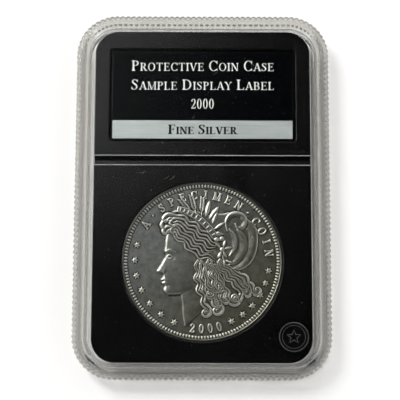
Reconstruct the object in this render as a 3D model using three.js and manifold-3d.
// A sealed display slab for one dollar-size coin. Two clear shells are welded together round a
// tongue and groove, over a black tray. The tray carries the coin in a soft ring, a printed label
// card in a pocket, and a small round seal. The rim of each shell stands proud of its window, so
// slabs stack rim to rim, and the outer edge is reeded for grip.
//
// Sizes are in millimetres. X runs across the slab, Y runs up to the label end and Z comes out of
// its face. The origin is the centre of the back, so the slab lies on Z = 0.

import * as THREE from 'three';
import { mergeVertices } from 'three/addons/utils/BufferGeometryUtils.js';
import Module from 'manifold-3d';

const wasm = await Module();
wasm.setup();

// ---------------------------------------------------------------- driving sizes

// The outside of the closed slab.
const slabWidth = 61.0;
const slabLength = 88.2;
const slabCornerRadius = 9.8;

// Across the edge, from the outermost crest of the reeding inwards.
const sideWall = 4.4; // to the cavity, along the two long sides
const endWall = 3.75; // to the cavity, at the two ends
const flangeWidth = 1.2; // the reeded step outside the rim
const rimDraft = 0.3; // how far the rim's outer side leans in
const rimTopWidth = 0.9; // the flat that slabs stack on
const rimSlopeWidth = 1.2; // the bevel down to the window

// Up through the slab.
const rimStand = 0.8; // rim above window
const windowThickness = 1.3;
const flangeDrop = 1.3; // flange below the rim's flat

// The reeding on the outer edge.
const reedPitch = 1.33;
const reedDepth = 0.3;

// The weld joint between the shells, half way up the wall.
const tongueWidth = 0.8;
const tongueHeight = 0.9;
const weldSideGap = 0.1;
const weldEndGap = 0.12;

// The rib under the front window that locates the tray.
const ribWidth = 2.0;
const ribDepth = 1.0;
const ribGap = 0.15;
const ribToLabel = 3.5; // from the rib to the label pocket

// The black tray.
const trayThickness = 3.1;
const trayGap = 0.15; // all round
const trayEndPlay = 0.05;

// The label card, its pocket and the foil strip on it.
const cardWidth = 43.4;
const cardLength = 21.6;
const cardThickness = 0.35;
const cardGap = 0.3;
const pocketDepth = 0.9;
const pocketBevel = 0.6;
const pocketCornerRadius = 0.4;
const foilHeight = 4.5;
const foilThickness = 0.1;
const adhesiveThickness = 0.05; // under the card, the foil and the seal
const labelTopMargin = 4.1; // from the tray's top edge to the pocket

// The coin and the ring that holds it.
const coinDiameter = 38.1;
const coinThickness = 2.4;
const coinRimWidth = 1.2;
const coinRimHeight = 0.25;
const coinEdgeBreak = 0.15;
const coinBottomMargin = 5.0; // from the tray's bottom edge to the coin
const gasketWall = 2.0;
const gasketEndPlay = 0.075; // to the tray's lip, and to the tray's back
const gasketGripGap = 0.05; // at rest between the ring and the coin
const gasketSeatGap = 0.05;
const lipGap = 0.3; // between the coin and the tray's front lip
const lipThickness = 0.45;
const lipBevel = 0.2;

// The round seal in the corner.
const sealDiameter = 7.2;
const sealThickness = 0.15;
const sealSeatDepth = 0.25;
const sealSeatGap = 0.15;
const sealMargin = 0.65; // from the tray's side to the seal's seat
const sealBottomMargin = 2.4; // from the tray's bottom edge to the seal's seat

// ---------------------------------------------------------------- sizes worked out from them

const backInnerZ = rimStand + windowThickness;
const frontInnerZ = backInnerZ + trayThickness + 2 * trayEndPlay;
const slabThickness = frontInnerZ + windowThickness + rimStand;
const seamZ = slabThickness / 2;
const windowInset = flangeWidth + rimDraft + rimTopWidth + rimSlopeWidth;
const tongueInset = (flangeWidth + Math.min(sideWall, endWall)) / 2 - tongueWidth / 2;

const trayTopZ = frontInnerZ - trayEndPlay;
const trayBackZ = backInnerZ + trayEndPlay;
const trayHalfLength = slabLength / 2 - endWall - trayGap;
const trayHalfWidth = slabWidth / 2 - sideWall - trayGap;

const pocketWidth = cardWidth + 2 * cardGap;
const pocketLength = cardLength + 2 * cardGap;
const pocketFloorZ = trayTopZ - pocketDepth;
const labelY = trayHalfLength - labelTopMargin - pocketBevel - pocketLength / 2;
const cardZ = pocketFloorZ + adhesiveThickness;
const foilZ = cardZ + cardThickness + adhesiveThickness;
const ribY = labelY - pocketLength / 2 - pocketBevel - ribToLabel - ribWidth / 2;

const coinRadius = coinDiameter / 2;
const coinY = -trayHalfLength + coinBottomMargin + coinRadius;
const coinZ = (trayTopZ + trayBackZ - coinThickness) / 2;
const lipRadius = coinRadius + lipGap;
const gasketBore = coinRadius + gasketGripGap;
const gasketRadius = gasketBore + gasketWall;
const gasketSeatRadius = gasketRadius + gasketSeatGap;
const gasketSeatTopZ = trayTopZ - lipThickness;
const gasketZ = trayBackZ + gasketEndPlay;
const gasketTopZ = gasketSeatTopZ - gasketEndPlay;

const sealSeatRadius = sealDiameter / 2 + sealSeatGap;
const sealX = trayHalfWidth - sealMargin - sealSeatRadius;
const sealY = -trayHalfLength + sealBottomMargin + sealSeatRadius;
const sealSeatZ = trayTopZ - sealSeatDepth;
const sealZ = sealSeatZ + adhesiveThickness;

// ---------------------------------------------------------------- facets

const cornerSteps = 10; // facets in each quarter turn of a rounded rectangle
const roundSteps = 80; // facets round the coin, the ring and the seal
const reedSteps = 3; // points on each tooth of the reeding
const through = 0.5; // how far a cut runs past the face that it opens
const rooted = 0.4; // how far a rib or a tongue runs into the wall that it grows from

// ---------------------------------------------------------------- solids and outlines

// A closed geometry as a solid that can be cut and joined.
function solidOf(geometry) {
  const bare = new THREE.BufferGeometry();
  const source = geometry.index ? geometry.toNonIndexed() : geometry;
  bare.setAttribute('position', source.getAttribute('position'));
  const merged = mergeVertices(bare, 1e-5);
  const mesh = new wasm.Mesh({
    numProp: 3,
    vertProperties: new Float32Array(merged.attributes.position.array),
    triVerts: new Uint32Array(merged.index.array),
  });
  return new wasm.Manifold(mesh);
}

// A finished solid as a geometry with flat faces.
function geometryOf(solid) {
  const mesh = solid.getMesh();
  const indexed = new THREE.BufferGeometry();
  indexed.setAttribute('position', new THREE.BufferAttribute(mesh.vertProperties, 3));
  indexed.setIndex(new THREE.BufferAttribute(mesh.triVerts, 1));
  const flat = indexed.toNonIndexed();
  flat.computeVertexNormals();
  return flat;
}

// Points round a rounded rectangle, anticlockwise, each with the direction that faces outwards.
function roundedPath(width, length, radius, steps = cornerSteps) {
  const r = Math.max(Math.min(radius, width / 2, length / 2), 0.01);
  const corners = [
    [width / 2 - r, -length / 2 + r, -Math.PI / 2],
    [width / 2 - r, length / 2 - r, 0],
    [-width / 2 + r, length / 2 - r, Math.PI / 2],
    [-width / 2 + r, -length / 2 + r, Math.PI],
  ];
  return corners.flatMap(([x, y, start]) =>
    Array.from({ length: steps + 1 }, (_, i) => {
      const angle = start + (i / steps) * (Math.PI / 2);
      const out = new THREE.Vector2(Math.cos(angle), Math.sin(angle));
      return { point: new THREE.Vector2(x, y).addScaledVector(out, r), out };
    }),
  );
}

// The slab's own outline, moved in by an inset along its sides and another at its ends.
function slabOutline(sideInset, endInset = sideInset) {
  const radius = slabCornerRadius - (sideInset + endInset) / 2;
  const path = roundedPath(slabWidth - 2 * sideInset, slabLength - 2 * endInset, radius);
  return path.map(({ point }) => point);
}

// The slab's outline with reeding, spaced evenly round the edge: each tooth starts in a valley.
function reededOutline() {
  const fine = roundedPath(slabWidth, slabLength, slabCornerRadius, 4 * cornerSteps);
  const lengths = fine.map(({ point }, i) => point.distanceTo(fine[(i + 1) % fine.length].point));
  const perimeter = lengths.reduce((sum, l) => sum + l, 0);
  const count = Math.round(perimeter / reedPitch) * reedSteps;
  const outline = [];
  let piece = 0;
  let before = 0;
  for (let i = 0; i < count; i++) {
    const along = (i / count) * perimeter;
    while (before + lengths[piece] < along) before += lengths[piece++];
    const from = fine[piece];
    const to = fine[(piece + 1) % fine.length];
    const share = (along - before) / lengths[piece];
    const out = from.out.clone().lerp(to.out, share).normalize();
    const inset = i % reedSteps === 0 ? reedDepth : 0;
    outline.push(from.point.clone().lerp(to.point, share).addScaledVector(out, -inset));
  }
  return outline;
}

// An upright solid through outlines of one point count, lowest first, each at its height.
function loft(sections) {
  const count = sections[0].outline.length;
  const positions = sections.flatMap(({ outline, z }) => outline.flatMap((p) => [p.x, p.y, z]));
  const index = [];
  for (let s = 0; s + 1 < sections.length; s++) {
    for (let i = 0; i < count; i++) {
      const a = s * count + i;
      const b = s * count + ((i + 1) % count);
      index.push(a, b, a + count, b, b + count, a + count);
    }
  }
  const top = (sections.length - 1) * count;
  for (const [a, b, c] of THREE.ShapeUtils.triangulateShape(sections[0].outline, [])) {
    index.push(a, c, b);
  }
  for (const [a, b, c] of THREE.ShapeUtils.triangulateShape(sections.at(-1).outline, [])) {
    index.push(top + a, top + b, top + c);
  }
  const geometry = new THREE.BufferGeometry();
  geometry.setAttribute('position', new THREE.Float32BufferAttribute(positions, 3));
  geometry.setIndex(index);
  return solidOf(geometry);
}

// An upright solid with straight sides.
function prism(outline, z0, z1) {
  const geometry = new THREE.ExtrudeGeometry(new THREE.Shape(outline), {
    depth: z1 - z0,
    bevelEnabled: false,
  });
  return solidOf(geometry.translate(0, 0, z0));
}

function box(width, length, z0, z1, y = 0) {
  const geometry = new THREE.BoxGeometry(width, length, z1 - z0);
  return solidOf(geometry.translate(0, y, (z0 + z1) / 2));
}

// A solid turned round an upright axis, from radii and heights that go anticlockwise.
function turned(profile, x, y) {
  const points = [...profile, profile[0]].map(([r, z]) => new THREE.Vector2(r, z));
  const geometry = new THREE.LatheGeometry(points, roundSteps);
  return solidOf(geometry.rotateX(Math.PI / 2).translate(x, y, 0));
}

function disc(radius, z0, z1, x, y) {
  return turned([[0, z0], [radius, z0], [radius, z1], [0, z1]], x, y);
}

// A rounded rectangle that widens evenly from its floor to its mouth.
function bevelledPocket(width, length, y, floorZ, mouthZ, bevel) {
  const slope = bevel / (mouthZ - floorZ);
  const reach = through * slope + bevel;
  const at = (grow, z) => ({
    outline: roundedPath(width + 2 * grow, length + 2 * grow, pocketCornerRadius + grow).map(
      ({ point }) => new THREE.Vector2(point.x, point.y + y),
    ),
    z,
  });
  return loft([at(0, floorZ), at(reach, mouthZ + through)]);
}

// ---------------------------------------------------------------- the pieces

// One shell lying open side down: a reeded flange, a rim and a window, over its half of the cavity.
// It spans from the seam up to the rim's flat, and height is how far that is.
function openShell(height) {
  const flangeTop = height - flangeDrop;
  const rimTopInset = flangeWidth + rimDraft;
  const flange = prism(reededOutline(), 0, flangeTop);
  const rim = loft([
    { outline: slabOutline(flangeWidth), z: 0 },
    { outline: slabOutline(flangeWidth), z: flangeTop },
    { outline: slabOutline(rimTopInset), z: height },
  ]);
  const windowRecess = loft([
    { outline: slabOutline(windowInset), z: height - rimStand },
    { outline: slabOutline(rimTopInset + rimTopWidth), z: height },
    { outline: slabOutline(rimTopInset + rimTopWidth), z: height + through },
  ]);
  const cavityTop = height - rimStand - windowThickness;
  const cavity = prism(slabOutline(sideWall, endWall), -through, cavityTop);
  return flange.add(rim).subtract(windowRecess).subtract(cavity);
}

// A ring that follows the slab's edge, between two insets.
function edgeRing(outerInset, innerInset, z0, z1) {
  const hole = prism(slabOutline(innerInset), z0 - through, z1 + through);
  return prism(slabOutline(outerInset), z0, z1).subtract(hole);
}

function frontShell() {
  const ribLength = slabWidth - 2 * sideWall + 2 * rooted;
  const rib = box(ribLength, ribWidth, frontInnerZ - ribDepth, frontInnerZ + rooted, ribY);
  const tongueEdge = tongueInset + tongueWidth;
  const tongue = edgeRing(tongueInset, tongueEdge, seamZ - tongueHeight, seamZ + rooted);
  return openShell(slabThickness - seamZ).translate([0, 0, seamZ]).add(rib).add(tongue);
}

function backShell() {
  const groove = edgeRing(
    tongueInset - weldSideGap,
    tongueInset + tongueWidth + weldSideGap,
    seamZ - tongueHeight - weldEndGap,
    seamZ + through,
  );
  return openShell(seamZ).rotate([180, 0, 0]).translate([0, 0, seamZ]).subtract(groove);
}

function insertTray() {
  const plate = prism(slabOutline(sideWall + trayGap, endWall + trayGap), trayBackZ, trayTopZ);
  const pocket = bevelledPocket(pocketWidth, pocketLength, labelY, pocketFloorZ, trayTopZ, pocketBevel);
  const ribSlot = box(
    slabWidth,
    ribWidth + 2 * ribGap,
    frontInnerZ - ribDepth - ribGap,
    trayTopZ + through,
    ribY,
  );
  const coinOpening = turned(
    [
      [0, trayBackZ - through],
      [gasketSeatRadius, trayBackZ - through],
      [gasketSeatRadius, gasketSeatTopZ],
      [lipRadius, gasketSeatTopZ],
      [lipRadius, trayTopZ - lipBevel],
      [lipRadius + lipBevel + through, trayTopZ + through],
      [0, trayTopZ + through],
    ],
    0,
    coinY,
  );
  const sealSeat = disc(sealSeatRadius, sealSeatZ, trayTopZ + through, sealX, sealY);
  return plate.subtract(pocket).subtract(ribSlot).subtract(coinOpening).subtract(sealSeat);
}

function coinGasket() {
  return turned(
    [
      [gasketBore, gasketZ],
      [gasketRadius, gasketZ],
      [gasketRadius, gasketTopZ],
      [gasketBore, gasketTopZ],
    ],
    0,
    coinY,
  );
}

// The coin's blank: a field on each face, sunk inside a raised rim.
function coinBlank() {
  const top = coinZ + coinThickness;
  const field = coinRadius - coinRimWidth;
  return turned(
    [
      [0, coinZ + coinRimHeight],
      [field, coinZ + coinRimHeight],
      [field + coinRimHeight, coinZ],
      [coinRadius - coinEdgeBreak, coinZ],
      [coinRadius, coinZ + coinEdgeBreak],
      [coinRadius, top - coinEdgeBreak],
      [coinRadius - coinEdgeBreak, top],
      [field + coinRimHeight, top],
      [field, top - coinRimHeight],
      [0, top - coinRimHeight],
    ],
    0,
    coinY,
  );
}

function labelCard() {
  return box(cardWidth, cardLength, cardZ, cardZ + cardThickness, labelY);
}

function foilStrip() {
  const y = labelY - cardLength / 2 + foilHeight / 2;
  return box(cardWidth, foilHeight, foilZ, foilZ + foilThickness, y);
}

function securitySeal() {
  return disc(sealDiameter / 2, sealZ, sealZ + sealThickness, sealX, sealY);
}

// ---------------------------------------------------------------- materials and assembly

const clearPlastic = new THREE.MeshStandardMaterial({
  color: 0xe8ecec,
  roughness: 0.08,
  metalness: 0,
  transparent: true,
  opacity: 0.35,
});
const blackPlastic = new THREE.MeshStandardMaterial({ color: 0x1c1d1d, roughness: 0.55, metalness: 0 });
const blackRubber = new THREE.MeshStandardMaterial({ color: 0x101010, roughness: 0.8, metalness: 0 });
const struckSilver = new THREE.MeshStandardMaterial({ color: 0xb9b5a8, roughness: 0.3, metalness: 1 });
const blackCard = new THREE.MeshStandardMaterial({ color: 0x0c0e10, roughness: 0.4, metalness: 0 });
const silverFoil = new THREE.MeshStandardMaterial({ color: 0xa9b2b1, roughness: 0.35, metalness: 0.6 });
const sealFilm = new THREE.MeshStandardMaterial({ color: 0x15171a, roughness: 0.3, metalness: 0.2 });

const slab = new THREE.Group();

function addPiece(name, solid, material) {
  const mesh = new THREE.Mesh(geometryOf(solid), material);
  mesh.name = name;
  slab.add(mesh);
}

addPiece('back_shell', backShell(), clearPlastic);
addPiece('front_shell', frontShell(), clearPlastic);
addPiece('insert_tray', insertTray(), blackPlastic);
addPiece('coin_gasket', coinGasket(), blackRubber);
addPiece('coin', coinBlank(), struckSilver);
addPiece('label_card', labelCard(), blackCard);
addPiece('foil_strip', foilStrip(), silverFoil);
addPiece('security_seal', securitySeal(), sealFilm);

export default slab;
